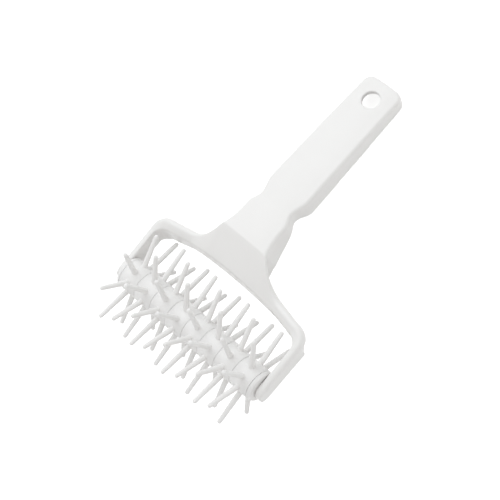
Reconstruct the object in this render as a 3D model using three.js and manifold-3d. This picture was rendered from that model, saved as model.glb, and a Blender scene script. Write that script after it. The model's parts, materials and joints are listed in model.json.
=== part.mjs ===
// Dough docker: a staggered stack of spiked rings that rolls between the arms of a moulded handle.
// Millimetres, +Z up. The tool lies on a table, on its lowest spikes and on the tail of its handle.
// +X runs along the roller, +Y towards the tail of the handle.
// The handle is drawn in its own level frame: its arms lie along Y with the roller's axis at the
// origin, and one group then tips it until its tail meets the table.

import * as THREE from 'three';
import Module from 'manifold-3d';
import { mergeVertices } from 'three/addons/utils/BufferGeometryUtils.js';

const wasm = await Module();
wasm.setup();

// Roller: spiked rings on a keyed core tube, closed by an end cap at each end
const ringCount = 8;
const ringPitch = 13.5;
const ringSeam = 0.35;
const barrelDiameter = 19.5;
const pinsPerRing = 8;
const spikedDiameter = 63;
const pinBaseDiameter = 3.3;
const pinTipDiameter = 2.5;
const pinRoot = 2;
const staggerAngle = THREE.MathUtils.degToRad(21);
const coreDiameter = 12;
const coreBore = 7.2;
const keyWidth = 2.4;
const keyHeight = 1.1;
const capThickness = 2.2;
const capChamfer = 0.6;
const capGroove = 0.35;
const capBossDiameter = 9;
const plugLength = 9;
const plugTaper = 0.8;
const trunnionDiameter = 6;
const trunnionChamfer = 0.5;

// Arms: straps that run beside the roller, with blind sockets for its trunnions
const armThickness = 3.8;
const armRise = 5.35;
const armDrop = 7.25;
const elbowDrop = 8.4;
const armLength = 24.9;
const armUnderRadius = 3.2;
const socketDepth = 2.4;

// Arch: the strap's bend and bridge above the spikes, with a flange on its outer side
const archInnerRadius = 7.8;
const archRise = 5;
const archSpread = 49;
const archOuterRadius = 10;
const archFlangeLead = 4.8;
const archOuterFall = 2.9;
const archDrop = 4.8;
const archDropSpread = 28;
const cornerDrop = 9.2;
const archFlange = 6.1;
const archRidge = 1.5;
const archInnerCrest = 5.2;
const crestSpread = 34;
const archDip = 1;

// Shoulder: the sloping face from the arch up to the handle, flared out to the arch on both sides
const shoulderReach = 57.5;
const foldSetback = 2.2;
const foldBow = 1.1;
const webReach = 14;
const flareHalfWidth = 35.8;

// Handle: a hollow moulding, open underneath
const handleLength = 117.3;
const handleHalfWidth = 13.9;
const handleTaper = 1.5;
const shoulderHalfWidth = 16.4;
const shoulderBlend = 12.5;
const frontHeight = 20.1;
const tailHeight = 5;
const topBow = 1.1;
const topCrown = 0.4;
const rimFront = 1.5;
const rimRise = 2.6;
const rimTail = -4.2;
const rimRiseAt = 34;
const gripDepth = 2.7;
const gripAt = 25.7;
const gripFrontRun = 7.7;
const gripTailRun = 10.7;
const gripRimRise = 5;
const gripRimAt = 23;
const gripRimFrontRun = 14.5;
const gripRimTailRun = 11.5;
const tailCornerRadius = 5.4;
const tailEdgeRadius = 1.6;
const wall = 2.4;
const ribThickness = 1.6;
const ribInset = 2.5;
const ribPitch = 27;
const ribCount = 3;
const hangHoleDiameter = 10.8;
const hangHoleFromTail = 12.9;
const hangCollarDepth = 3.6;

// Soft edges of the handle moulding
const topEdgeRadius = 1.8;
const armEdgeRadius = 2.6;
const armInnerEdgeRadius = 0.8;
const archEdgeRadius = 3.1;
const innerEdgeRadius = 1.1;
const lowerEdgeRadius = 0.5;
const flangeEdgeRadius = 1.1;

// Clearances and overrun
const fitGap = 0.3;
const runningGap = 1.1;
const webInset = 0.05;
const overrun = 1;

// Facets
const barrelSides = 32;
const pinSides = 8;
const roundSides = 24;
const domeSteps = 2;

// Slopes, as rise over run
const wallLean = 0.15;
const wallDraft = 0.02;
const tailLean = 0.15;

// Power of the arch's curve
const archPower = 2.2;

// Shares of a quarter turn at which rounded edges, bends and arm ends get a point or a section
const edgeTurnShares = [1 / 3, 2 / 3];
const endTurnShares = [0.83, 0.64, 0.44, 0.22, 0];
const bendTurnShares = [0, 0.14, 0.35, 0.6, 0.8, 1];

// Shares of a run at which a section stands
const archShares = [2 / 3, 1 / 3];
const flareShares = [0, 0.18, 0.34, 0.5, 0.64, 0.78, 0.9];
const blendShares = [0, 0.25, 0.55, 1];
const gripShares = [-1, -0.75, -0.5, -0.25, 0, 0.25, 0.5, 0.75, 1];
const middleShares = [1 / 3, 2 / 3];
const tailShares = [0, 0.28, 0.49, 0.63];
const tailEdgeShares = [0.5, 0.87, 1];

// Shares inside a section
const crownShare = 0.75;
const slopeShares = [2 / 3, 1 / 3];
const creaseShare = 0.75;
const footFoldShare = 0.5;
const foldRiseShare = 0.1;
const lowArcShare = 0.3;
const underEdgeShare = 0.15;
const leanReachShare = 0.5;
const skinReachShare = 0.67;

// Shares of the flare's span by which its curve leads on from each end
const flareFootLeadShare = new THREE.Vector2(0.45, 0.11);
const flareHeadLeadShare = new THREE.Vector2(0.25, 0.53);

const ringWidth = ringPitch - ringSeam;
const barrelRadius = barrelDiameter / 2;
const spikedRadius = spikedDiameter / 2;
const capInnerFace = (ringCount * ringPitch + ringSeam) / 2;
const capOuterFace = capInnerFace + capThickness;
const armInnerFace = capOuterFace + runningGap;
const armOuterFace = armInnerFace + armThickness;
const armRadius = (armRise + armDrop) / 2;
const armMiddle = (armRise - armDrop) / 2;
const archTop = armRise + archRidge;
const tail = shoulderReach + handleLength;
const tailRimY = tail - tailLean * (tailHeight - rimTail);
const quarterTurn = Math.PI / 2;
const gapAngle = (4 * quarterTurn) / pinsPerRing;
const keyAngle = (gapAngle + staggerAngle) / 2;
const edgeTurns = edgeTurnShares.map((share) => share * quarterTurn);

const white = new THREE.MeshStandardMaterial({ color: 0xf1f2f0, roughness: 0.34, metalness: 0 });
const ringWhite = new THREE.MeshStandardMaterial({ color: 0xeceeec, roughness: 0.4, metalness: 0 });
const coreWhite = new THREE.MeshStandardMaterial({ color: 0xe2e4e2, roughness: 0.5, metalness: 0 });

const { lerp, smoothstep } = THREE.MathUtils;

// Solid from a closed geometry whose shared corners are merged
function solidOf(geometry) {
  geometry.deleteAttribute('normal');
  geometry.deleteAttribute('uv');
  const merged = mergeVertices(geometry);
  const mesh = new wasm.Mesh({
    numProp: 3,
    vertProperties: Float32Array.from(merged.attributes.position.array),
    triVerts: Uint32Array.from(merged.index.array),
  });
  return new wasm.Manifold(mesh);
}

function geometryOf(solid) {
  const mesh = solid.getMesh();
  const geometry = new THREE.BufferGeometry();
  geometry.setAttribute('position', new THREE.BufferAttribute(mesh.vertProperties, 3));
  geometry.setIndex(new THREE.BufferAttribute(mesh.triVerts, 1));
  geometry.computeVertexNormals();
  return geometry;
}

function namedMesh(name, solid, material) {
  const mesh = new THREE.Mesh(geometryOf(solid), material);
  mesh.name = name;
  return mesh;
}

// Flat closed loop of points split into triangles, as indices into the loop
function fillLoop(points) {
  const normal = new THREE.Vector3();
  points.forEach((point, i) => {
    const next = points[(i + 1) % points.length];
    normal.add(new THREE.Vector3().crossVectors(point, next));
  });
  normal.normalize();
  const side = new THREE.Vector3().subVectors(points[1], points[0]).normalize();
  const up = new THREE.Vector3().crossVectors(normal, side);
  const flat = points.map((point) => new THREE.Vector2(point.dot(side), point.dot(up)));
  return THREE.ShapeUtils.triangulateShape(flat, []);
}

// Closed body through loops that all have the same number of points
function loft(loops) {
  const count = loops[0].length;
  const positions = loops.flat().flatMap((point) => [point.x, point.y, point.z]);
  const index = [];
  for (let k = 0; k < loops.length - 1; k += 1) {
    for (let i = 0; i < count; i += 1) {
      const a = k * count + i;
      const b = k * count + ((i + 1) % count);
      index.push(a, b, b + count, a, b + count, a + count);
    }
  }
  const last = (loops.length - 1) * count;
  for (const [a, b, c] of fillLoop(loops[0])) index.push(a, c, b);
  for (const [a, b, c] of fillLoop(loops[loops.length - 1])) index.push(last + a, last + b, last + c);
  const geometry = new THREE.BufferGeometry();
  geometry.setAttribute('position', new THREE.Float32BufferAttribute(positions, 3));
  geometry.setIndex(signedVolume(positions, index) < 0 ? index.reverse() : index);
  return solidOf(geometry);
}

function signedVolume(positions, index) {
  const corner = (i) => new THREE.Vector3().fromArray(positions, 3 * i);
  let total = 0;
  for (let i = 0; i < index.length; i += 3) {
    total += corner(index[i]).dot(corner(index[i + 1]).cross(corner(index[i + 2])));
  }
  return total;
}

// Round body along X from a profile of [radius, x] points that starts and ends on the axis
function turned(profile, sides) {
  const points = profile.map(([radius, x]) => new THREE.Vector2(radius, x));
  const geometry = new THREE.LatheGeometry(points, sides);
  geometry.rotateZ(-quarterTurn);
  return solidOf(geometry);
}

function cylinderAlongX(radius, from, to, sides) {
  return turned([[0, from], [radius, from], [radius, to], [0, to]], sides);
}

function box(from, to) {
  const geometry = new THREE.BoxGeometry(to.x - from.x, to.y - from.y, to.z - from.z);
  geometry.translate((from.x + to.x) / 2, (from.y + to.y) / 2, (from.z + to.z) / 2);
  return solidOf(geometry);
}

function turnedAboutX(solid, angle) {
  return solid.rotate([THREE.MathUtils.radToDeg(angle), 0, 0]);
}

// One tapered pin with a domed tip, standing along +Y from inside the barrel
function pin() {
  const tipRadius = pinTipDiameter / 2;
  const root = barrelRadius - pinRoot;
  const domeAt = spikedRadius - tipRadius;
  const profile = [new THREE.Vector2(0, root), new THREE.Vector2(pinBaseDiameter / 2, root)];
  profile.push(new THREE.Vector2(pinBaseDiameter / 2, barrelRadius));
  for (let i = 0; i < domeSteps; i += 1) {
    const angle = (i / domeSteps) * quarterTurn;
    profile.push(new THREE.Vector2(tipRadius * Math.cos(angle), domeAt + tipRadius * Math.sin(angle)));
  }
  profile.push(new THREE.Vector2(0, spikedRadius));
  return solidOf(new THREE.LatheGeometry(profile, pinSides));
}

// Barrel ring with a keyed bore and a row of pins in its middle plane
function spikeRing(turn) {
  const half = ringWidth / 2;
  let ring = cylinderAlongX(barrelRadius, -half, half, barrelSides);
  const onePin = pin();
  for (let i = 0; i < pinsPerRing; i += 1) ring = ring.add(turnedAboutX(onePin, turn + i * gapAngle));
  const reach = half + overrun;
  const bore = cylinderAlongX(coreDiameter / 2 + fitGap, -reach, reach, roundSides);
  const keyway = keyBar(reach, fitGap);
  return ring.subtract(bore).subtract(keyway);
}

// Key along the core, widened by a clearance where it is used to cut a keyway
function keyBar(reach, clearance) {
  const halfWidth = keyWidth / 2 + clearance;
  const from = new THREE.Vector3(-reach, 0, -halfWidth);
  const to = new THREE.Vector3(reach, coreDiameter / 2 + keyHeight + clearance, halfWidth);
  return turnedAboutX(box(from, to), keyAngle);
}

function rollerCore() {
  const reach = capInnerFace - fitGap;
  const tube = cylinderAlongX(coreDiameter / 2, -reach, reach, roundSides);
  const bore = cylinderAlongX(coreBore / 2, -reach - overrun, reach + overrun, roundSides);
  return tube.add(keyBar(reach, 0)).subtract(bore);
}

// Cap with a plug into the core, a chamfered rim, a raised boss and the trunnion that turns in the arm
function endCap() {
  const plugRadius = coreBore / 2 - fitGap;
  const trunnionRadius = trunnionDiameter / 2;
  const trunnionEnd = armInnerFace + socketDepth - fitGap;
  const grooveAt = capInnerFace + capThickness / 2;
  const bossEnd = capOuterFace + runningGap - fitGap;
  return turned(
    [
      [0, capInnerFace - plugLength],
      [plugRadius - plugTaper, capInnerFace - plugLength],
      [plugRadius, capInnerFace - plugLength + plugTaper],
      [plugRadius, capInnerFace],
      [barrelRadius, capInnerFace],
      [barrelRadius, grooveAt - capGroove],
      [barrelRadius - capGroove, grooveAt],
      [barrelRadius - capGroove, capOuterFace - capChamfer],
      [barrelRadius - capGroove - capChamfer, capOuterFace],
      [capBossDiameter / 2, capOuterFace],
      [capBossDiameter / 2, bossEnd],
      [trunnionRadius, bossEnd],
      [trunnionRadius, trunnionEnd - trunnionChamfer],
      [trunnionRadius - trunnionChamfer, trunnionEnd],
      [0, trunnionEnd],
    ],
    barrelSides,
  );
}

// Top line of the handle from the fold to the tail, a shallow bow
function handleTop(y) {
  const share = (y - shoulderReach) / handleLength;
  return lerp(frontHeight, tailHeight, share) + topBow * 4 * share * (1 - share);
}

// Lower rim of the handle: it rises behind the shoulder and falls again to the tail
function handleRim(y) {
  const run = y - shoulderReach;
  const scoop = gripRimRise * scoopShape(run - gripRimAt, gripRimFrontRun, gripRimTailRun);
  if (run < rimRiseAt) return scoop + lerp(rimFront, rimRise, smoothstep(run, 0, rimRiseAt));
  return scoop + lerp(rimRise, rimTail, (run - rimRiseAt) / (handleLength - rimRiseAt));
}

// Finger scoop along the handle, 1 at its deepest place and 0 at its ends in front and behind
function scoopShape(offset, frontRun, tailRun) {
  const share = Math.min(1, Math.abs(offset) / (offset < 0 ? frontRun : tailRun));
  return (1 + Math.cos(Math.PI * share)) / 2;
}

// Half width of the handle: shoulder blend, finger scoop, slow taper and rounded tail corners
function handleSide(y) {
  const run = y - shoulderReach;
  const blend = Math.max(0, 1 - run / shoulderBlend);
  const flare = (shoulderHalfWidth - handleHalfWidth) * blend * blend;
  const scoop = gripDepth * scoopShape(run - gripAt, gripFrontRun, gripTailRun);
  const taper = (handleTaper * Math.max(0, run - gripAt)) / (handleLength - gripAt);
  const intoCorner = Math.min(tailCornerRadius, Math.max(0, y - (tail - tailCornerRadius)));
  const corner = tailCornerRadius - Math.sqrt(tailCornerRadius ** 2 - intoCorner ** 2);
  return handleHalfWidth + flare - scoop - taper - corner;
}

// Half of the handle's section from the lower rim to the middle of the top, as [x, z] points
function handleHalfSection(y, inset, rimDrop) {
  const side = handleSide(y) - inset;
  const intoTail = Math.min(tailEdgeRadius, Math.max(0, y - (tail - tailEdgeRadius)));
  const tailDrop = tailEdgeRadius - Math.sqrt(tailEdgeRadius ** 2 - intoTail ** 2);
  const top = handleTop(y) - inset - tailDrop;
  const rim = handleRim(y) - rimDrop;
  const radius = topEdgeRadius;
  const points = [[side + wallDraft * (top - rim), rim], [side, top - radius]];
  for (const turn of edgeTurns) {
    points.push([side - radius * (1 - Math.cos(turn)), top - radius * (1 - Math.sin(turn))]);
  }
  points.push([side - radius, top]);
  points.push([(side - radius) / 2, top + topCrown * crownShare]);
  points.push([0, top + topCrown]);
  return points;
}

function handleLoop(y, inset, rimDrop) {
  const lean = (tailLean * Math.max(0, y - shoulderReach)) / handleLength;
  const place = ([x, z]) => new THREE.Vector3(x, y - lean * (handleTop(y) - z), z);
  const half = handleHalfSection(y, inset, rimDrop).map(place);
  const mirrored = half.slice(0, -1).reverse();
  return [...half, ...mirrored.map((point) => new THREE.Vector3(-point.x, point.y, point.z))];
}

// Stations along the handle, closer together where its sides curve
function handleStations(end) {
  const gripRun = (share) => share * (share < 0 ? gripFrontRun : gripTailRun);
  const middle = gripAt + gripTailRun;
  const cornerStart = handleLength - tailCornerRadius;
  const stations = [
    ...blendShares.map((share) => share * shoulderBlend),
    ...gripShares.map((share) => gripAt + gripRun(share)),
    ...middleShares.map((share) => lerp(middle, cornerStart, share)),
    ...tailShares.map((share) => cornerStart + share * tailCornerRadius),
    ...tailEdgeShares.map((share) => handleLength - tailEdgeRadius * (1 - share)),
  ];
  return [...stations.map((run) => shoulderReach + run).filter((y) => y < end), end];
}

function handleShell() {
  const outside = loft(handleStations(tail).map((y) => handleLoop(y, 0, 0)));
  const hollowEnd = tail - wall;
  const hollowStations = handleStations(hollowEnd);
  hollowStations.unshift(shoulderReach - overrun);
  const hollow = loft(hollowStations.map((y) => handleLoop(y, wall, overrun)));
  let shell = outside.subtract(hollow);
  for (let i = 1; i <= ribCount; i += 1) shell = shell.add(crossRib(i).intersect(outside));
  const collar = hangHoleTool(hangHoleDiameter / 2 + wall, hangCollarDepth);
  const hole = hangHoleTool(hangHoleDiameter / 2, frontHeight);
  return shell.add(collar.intersect(outside)).subtract(hole);
}

// Rib across the hollow, a little short of the lower rim
function crossRib(i) {
  const y = shoulderReach + gripAt + i * ribPitch - ribPitch / 2;
  return box(
    new THREE.Vector3(-shoulderHalfWidth, y, handleRim(y) + ribInset),
    new THREE.Vector3(shoulderHalfWidth, y + ribThickness, handleTop(y) - overrun),
  );
}

// Round tool square to the handle's top at the hang hole, reaching a depth below the top and as far above
function hangHoleTool(radius, depth) {
  const y = tail - hangHoleFromTail;
  const climb = handleTop(y + overrun) - handleTop(y - overrun);
  const geometry = new THREE.CylinderGeometry(radius, radius, 2 * depth, roundSides);
  geometry.rotateX(quarterTurn + Math.atan2(climb, 2 * overrun));
  geometry.translate(0, y, handleTop(y));
  return solidOf(geometry);
}

// The arch's inner edge as seen from above, from the middle to the start of its corner
const innerCornerX = armInnerFace - archInnerRadius;
const outerCornerX = armOuterFace - archOuterRadius;
const outerCornerY = armLength + archFlangeLead;

function archInnerY(x) {
  const share = Math.min(1, x / archSpread);
  return armLength + archInnerRadius + archRise * (1 - share ** archPower);
}

function archInnerTop(x) {
  const share = Math.min(1, x / crestSpread);
  return armRise - archDip + archInnerCrest * (1 - share * share);
}

function archBottom(x) {
  return -lerp(archDrop, cornerDrop, smoothstep(x, archDropSpread, archSpread));
}

// The flare's top edge, from the arch's outer edge up the plane of the slope to the handle's side
const slopeRun = shoulderReach - foldSetback - archInnerY(shoulderHalfWidth);
const slope = (frontHeight - archInnerTop(shoulderHalfWidth)) / slopeRun;
const flareFoot = new THREE.Vector3(
  flareHalfWidth,
  outerCornerY + archOuterRadius + archOuterFall,
  archTop,
);
const flareHead = new THREE.Vector3(shoulderHalfWidth, shoulderReach, frontHeight);
const flareSpan = new THREE.Vector2(flareFoot.x - flareHead.x, flareHead.y - flareFoot.y);
const flare = new THREE.CubicBezierCurve3(
  flareFoot,
  new THREE.Vector3(
    flareFoot.x - flareSpan.x * flareFootLeadShare.x,
    flareFoot.y + flareSpan.y * flareFootLeadShare.y,
    archTop,
  ),
  new THREE.Vector3(
    flareHead.x + flareSpan.x * flareHeadLeadShare.x,
    flareHead.y - flareSpan.y * flareHeadLeadShare.y,
    frontHeight - flareSpan.y * flareHeadLeadShare.y * slope,
  ),
  flareHead,
);

// One section of the yoke, from its lower inner edge round by its outer edge to its upper inner edge.
// inner and outer are the section's ends seen from above, and heights are over the roller's axis.
function yokeLoop(s) {
  const across = new THREE.Vector2().subVectors(s.outer, s.inner);
  const width = across.length();
  across.normalize();
  const inEdge = s.inEdge ?? innerEdgeRadius;
  const outEdge = s.edge;
  const low = lowerEdgeRadius * (s.soft ?? 1);
  const rimEdge = s.rimEdge ?? low;
  const foldAt = s.foldAt ?? lerp(inEdge, width - outEdge, creaseShare);
  const foldTop = s.foldTop ?? lerp(s.innerTop, s.outerTop, foldAt / width);
  const topAt = (a) =>
    a < foldAt
      ? lerp(s.innerTop, foldTop, a / foldAt)
      : lerp(foldTop, s.outerTop, (a - foldAt) / (width - foldAt));
  const place = (a, z, leaning) => {
    const out = leaning ? a - s.lean * (s.innerTop - z) : a;
    return new THREE.Vector3(s.inner.x + across.x * out, s.inner.y + across.y * out, z);
  };
  const strap = s.strap;
  const under = (a) => s.under(a, topAt(a), width);
  const points = [
    place(0, s.bottom + low, true),
    place(low * lowArcShare, s.bottom + low * lowArcShare, true),
    place(low, s.bottom, true),
    place(strap - (s.strapEdge ?? low), s.bottom, true),
    place(strap, s.bottom + (s.strapEdge ?? low), true),
    place(strap, under(strap), true),
    place((strap + width - rimEdge) / 2, under((strap + width - rimEdge) / 2), false),
    place(width - rimEdge, under(width - rimEdge), false),
    place(width, under(width) + rimEdge, false),
    place(width, s.outerTop - outEdge, false),
  ];
  for (const turn of edgeTurns) {
    const a = width - outEdge * (1 - Math.cos(turn));
    points.push(place(a, topAt(a) - outEdge * (1 - Math.sin(turn)), false));
  }
  points.push(place(width - outEdge, topAt(width - outEdge), false));
  points.push(place((width - outEdge + foldAt) / 2, topAt((width - outEdge + foldAt) / 2), false));
  points.push(place(foldAt, foldTop, false));
  for (const share of slopeShares) {
    const a = lerp(inEdge, foldAt, share);
    points.push(place(a, topAt(a), false));
  }
  points.push(place(inEdge, topAt(inEdge), false));
  for (const turn of [...edgeTurns].reverse()) {
    const a = inEdge * (1 - Math.cos(turn));
    points.push(place(a, topAt(a) - inEdge * (1 - Math.sin(turn)), false));
  }
  points.push(place(0, s.innerTop - inEdge, true));
  return points;
}

// Section of an arm at a distance y from the roller's axis, negative past the axis
function armLoop(y) {
  const halfDepth = y < 0 ? Math.sqrt(armRadius ** 2 - y ** 2) : armRadius;
  const soft = halfDepth / armRadius;
  const bottom = armMiddle - halfDepth - (elbowDrop - armDrop) * Math.max(0, y / armLength);
  return yokeLoop({
    inner: new THREE.Vector2(armInnerFace, y),
    outer: new THREE.Vector2(armOuterFace, y),
    innerTop: armMiddle + halfDepth,
    outerTop: armMiddle + halfDepth,
    ...roundedUnder(bottom, armThickness, armUnderRadius * soft),
    lean: 0,
    inEdge: armInnerEdgeRadius * soft,
    edge: armEdgeRadius * soft,
    soft,
  });
}

// Lower outer edge of a strap as one round sweep from its bottom up to its outer face
function roundedUnder(bottom, width, radius) {
  const strap = width - radius;
  const reach = (a) => Math.min(radius, Math.max(0, a - strap));
  const rimEdge = radius * underEdgeShare;
  return {
    bottom,
    strap,
    strapEdge: 0,
    rimEdge,
    under: (a) =>
      a >= width ? bottom + radius - rimEdge : bottom + radius - Math.sqrt(radius ** 2 - reach(a) ** 2),
  };
}

// Section across the bend between arm and arch, from 0 at the arm to 1 at the arch
function cornerLoop(share) {
  const angle = share * quarterTurn;
  const arc = (x, y, radius) =>
    new THREE.Vector2(x + radius * Math.cos(angle), y + radius * Math.sin(angle));
  const bendWidth = Math.hypot(armThickness, archFlangeLead);
  const underside = share === 0
    ? roundedUnder(-elbowDrop, bendWidth, armUnderRadius)
    : flangeUnder(-lerp(elbowDrop, cornerDrop, share), archFlange);
  return yokeLoop({
    inner: arc(innerCornerX, armLength, archInnerRadius),
    outer: arc(outerCornerX, outerCornerY, archOuterRadius),
    innerTop: lerp(armRise, archInnerTop(innerCornerX), share),
    outerTop: lerp(armRise, archTop, share),
    ...underside,
    lean: wallLean * Math.min(1, share / leanReachShare),
    inEdge: lerp(armInnerEdgeRadius, innerEdgeRadius, share),
    edge: lerp(armEdgeRadius, archEdgeRadius, share),
  });
}

// Underside of a flange or skin of the given thickness, carried by the strap on its inner side
function flangeUnder(bottom, thickness) {
  return {
    bottom,
    strap: armThickness,
    rimEdge: thickness > wall ? flangeEdgeRadius : lowerEdgeRadius,
    under: (a, top) => top - thickness,
  };
}

// Straight outer edge of the arch, between its corner and the foot of the flare
function archLoop(share) {
  const x = lerp(flareFoot.x, outerCornerX, share);
  const outerY = lerp(flareFoot.y, outerCornerY + archOuterRadius, share);
  const innerX = lerp(flareFoot.x, innerCornerX, share);
  return yokeLoop({
    inner: new THREE.Vector2(innerX, archInnerY(innerX)),
    outer: new THREE.Vector2(x, outerY),
    innerTop: archInnerTop(innerX),
    outerTop: archTop,
    ...flangeUnder(archBottom(innerX), archFlange),
    lean: wallLean,
    edge: archEdgeRadius,
  });
}

// Section through the flare, from 0 at its foot to 1 at the handle's side
function flareLoop(share) {
  const edge = flare.getPoint(share);
  const skin = lerp(archFlange, wall, Math.min(1, share / skinReachShare));
  const inner = new THREE.Vector2(edge.x, archInnerY(edge.x));
  const width = edge.y - inner.y;
  const innerTop = archInnerTop(edge.x);
  return yokeLoop({
    inner,
    outer: new THREE.Vector2(edge.x, edge.y),
    innerTop,
    outerTop: edge.z,
    ...flangeUnder(archBottom(edge.x), skin),
    lean: wallLean,
    edge: lerp(archEdgeRadius, topEdgeRadius, share),
    foldAt: lerp(width * footFoldShare, width - foldSetback, share),
    foldTop: lerp(lerp(innerTop, edge.z, footFoldShare), edge.z, share),
  });
}

// Section at a distance x from the middle plane, where the slope folds into the handle's top
function shoulderLoop([x, top]) {
  const bow = foldBow * (1 - (x / shoulderHalfWidth) ** 2);
  const edge = Math.max(0, frontHeight - top);
  const innerY = archInnerY(x);
  const foldAt = shoulderReach - foldSetback + bow - innerY;
  return yokeLoop({
    inner: new THREE.Vector2(x, innerY),
    outer: new THREE.Vector2(x, shoulderReach),
    innerTop: archInnerTop(x),
    outerTop: top + edge,
    ...flangeUnder(archBottom(x), wall),
    lean: wallLean,
    edge,
    foldAt,
    foldTop: top + edge + (foldSetback - bow) * foldRiseShare,
  });
}

// Yoke: both arms, the arch and the shoulder as one skin from the left arm's end to the right one's
function yoke() {
  const shoulder = handleHalfSection(shoulderReach, 0, 0).slice(1);
  const right = [
    ...endTurnShares.map((share) => armLoop(-armRadius * Math.sin(share * quarterTurn))),
    armLoop(armLength / 2),
    ...bendTurnShares.map(cornerLoop),
    ...archShares.map(archLoop),
    ...flareShares.map(flareLoop),
    ...shoulder.map(shoulderLoop),
  ];
  const mirror = (loop) => loop.map((point) => new THREE.Vector3(-point.x, point.y, point.z));
  const left = right.slice(0, -1).map(mirror).reverse();
  return loft([...right, ...left]);
}

// Side wall of the handle carried on under the shoulder to the arch's strap
function sideWeb(side) {
  const innerY = archInnerY(shoulderHalfWidth);
  const innerTop = archInnerTop(shoulderHalfWidth);
  const foldY = shoulderReach - foldSetback;
  const strapY = innerY + armThickness / 2;
  const strapTop = innerTop + slope * (strapY - innerY) - wall / 2;
  const strapBottom = lowerEdgeRadius - archDrop;
  const strapFootY = strapY - wallLean * (innerTop - strapBottom);
  const outline = [
    [strapFootY, strapBottom],
    [Math.max(strapFootY + overrun, shoulderReach - webReach), strapBottom],
    [shoulderReach + overrun, handleRim(shoulderReach + overrun) + webInset],
    [shoulderReach + overrun, frontHeight - topEdgeRadius],
    [foldY, frontHeight - wall / 2],
    [strapY, strapTop],
  ];
  const face = (inset) =>
    outline.map(([y, z]) => {
      const x = shoulderHalfWidth + wallDraft * (frontHeight - z) - inset;
      return new THREE.Vector3(side * x, y, z);
    });
  return loft([face(wall), face(webInset)]);
}

// Blind hole in the inner face of an arm
function socket(side) {
  const radius = trunnionDiameter / 2 + fitGap;
  const from = side * (armInnerFace - overrun);
  const to = side * (armInnerFace + socketDepth);
  return cylinderAlongX(radius, Math.min(from, to), Math.max(from, to), roundSides);
}

function yokeHandle() {
  return yoke()
    .add(handleShell())
    .add(sideWeb(-1))
    .add(sideWeb(1))
    .subtract(socket(-1))
    .subtract(socket(1));
}

// Tips the handle about the roller's axis until the rim of its tail meets the table
function tippedHandle() {
  const group = new THREE.Group();
  group.add(namedMesh('yoke_handle', yokeHandle(), white));
  const reach = Math.hypot(tailRimY, rimTail);
  group.rotation.x = -(Math.asin(spikedRadius / reach) + Math.atan2(rimTail, tailRimY));
  return group;
}

function roller() {
  const group = new THREE.Group();
  const rings = [spikeRing(staggerAngle), spikeRing(0)];
  for (let i = 0; i < ringCount; i += 1) {
    const mesh = namedMesh(`spike_ring_${i + 1}`, rings[i % 2], ringWhite);
    mesh.position.x = (i - (ringCount - 1) / 2) * ringPitch;
    group.add(mesh);
  }
  group.add(namedMesh('roller_core', rollerCore(), coreWhite));
  const rightCap = endCap();
  const leftCap = rightCap.rotate([0, 0, THREE.MathUtils.radToDeg(2 * quarterTurn)]);
  group.add(namedMesh('end_cap_right', rightCap, ringWhite));
  group.add(namedMesh('end_cap_left', leftCap, ringWhite));
  return group;
}

// The whole tool stands on the table, with the middle of its footprint over the origin
const docker = new THREE.Group();
docker.add(tippedHandle(), roller());
docker.position.z = spikedRadius;
docker.updateMatrixWorld(true);
const extent = new THREE.Box3().setFromObject(docker, true);
docker.position.y = -(extent.min.y + extent.max.y) / 2;

export default docker;
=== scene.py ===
"""Looks of the dough docker: a white moulded handle whose arms hold a roller of spiked rings.

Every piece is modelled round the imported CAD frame, from measures given here in millimetres. The
handle is drawn level, with the roller's axis at the origin and the arms along +Y, and is then
tipped about that axis until its tail lies on the table. Positions in Blender are in metres.
"""

import json
import math

import bpy
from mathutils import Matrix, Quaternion, Vector


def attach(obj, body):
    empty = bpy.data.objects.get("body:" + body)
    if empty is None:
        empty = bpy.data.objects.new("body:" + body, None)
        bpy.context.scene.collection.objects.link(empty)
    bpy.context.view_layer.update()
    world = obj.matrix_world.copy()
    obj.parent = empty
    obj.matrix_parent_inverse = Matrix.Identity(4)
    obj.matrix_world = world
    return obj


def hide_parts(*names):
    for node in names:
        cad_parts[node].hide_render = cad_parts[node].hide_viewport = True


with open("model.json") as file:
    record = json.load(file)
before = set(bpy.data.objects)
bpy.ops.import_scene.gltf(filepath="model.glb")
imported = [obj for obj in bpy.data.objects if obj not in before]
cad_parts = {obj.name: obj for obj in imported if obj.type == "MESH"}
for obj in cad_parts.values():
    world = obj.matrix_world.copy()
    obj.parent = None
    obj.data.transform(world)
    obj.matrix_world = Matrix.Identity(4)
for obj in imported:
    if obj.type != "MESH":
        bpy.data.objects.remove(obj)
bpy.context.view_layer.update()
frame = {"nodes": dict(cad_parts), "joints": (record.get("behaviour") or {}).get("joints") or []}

# Units and tolerances
MM = 0.001
QUARTER = math.pi / 2
WELD = 0.002 * MM
HAIR = 0.01
SMOOTH_ANGLE = math.radians(38)

# Roller
RING_COUNT = 8
RING_PITCH = 13.5
RING_SEAM = 0.35
SEAM_LIP = 0.3
SEAM_DEPTH = 0.3
BARREL_RADIUS = 9.75
BARREL_SIDES = 96
BARREL_BEVEL = 0.16
PINS_PER_RING = 8
SPIKED_RADIUS = 31.5
PIN_SIDES = 28
PIN_BASE_RADIUS = 1.72
PIN_TIP_RADIUS = 1.33
PIN_DOME_END = 0.9
PIN_ROOT = 2
PIN_SINK = 0.1
PIN_FILLET = 0.32
STAGGER = math.radians(21)
CORE_RADIUS = 6
KEY_WIDTH = 2.4
KEY_HEIGHT = 1.1
FIT_GAP = 0.3
RUNNING_GAP = 0.65
CORE_BORE_RADIUS = 3.6
CAP_THICKNESS = 2.2
CAP_FALL = 0.35  # how far the rim draws in, and where it starts and passes its first share
CAP_FALL_START = 0.25
CAP_FALL_AT = 0.4
CAP_FALL_SHARE = 0.3
CAP_EDGE_RADIUS = 0.9
CAP_SKIRT = 0.25
CAP_SKIRT_CHAMFER = 0.05
SKIRT_DRAFT = 0.02
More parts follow.
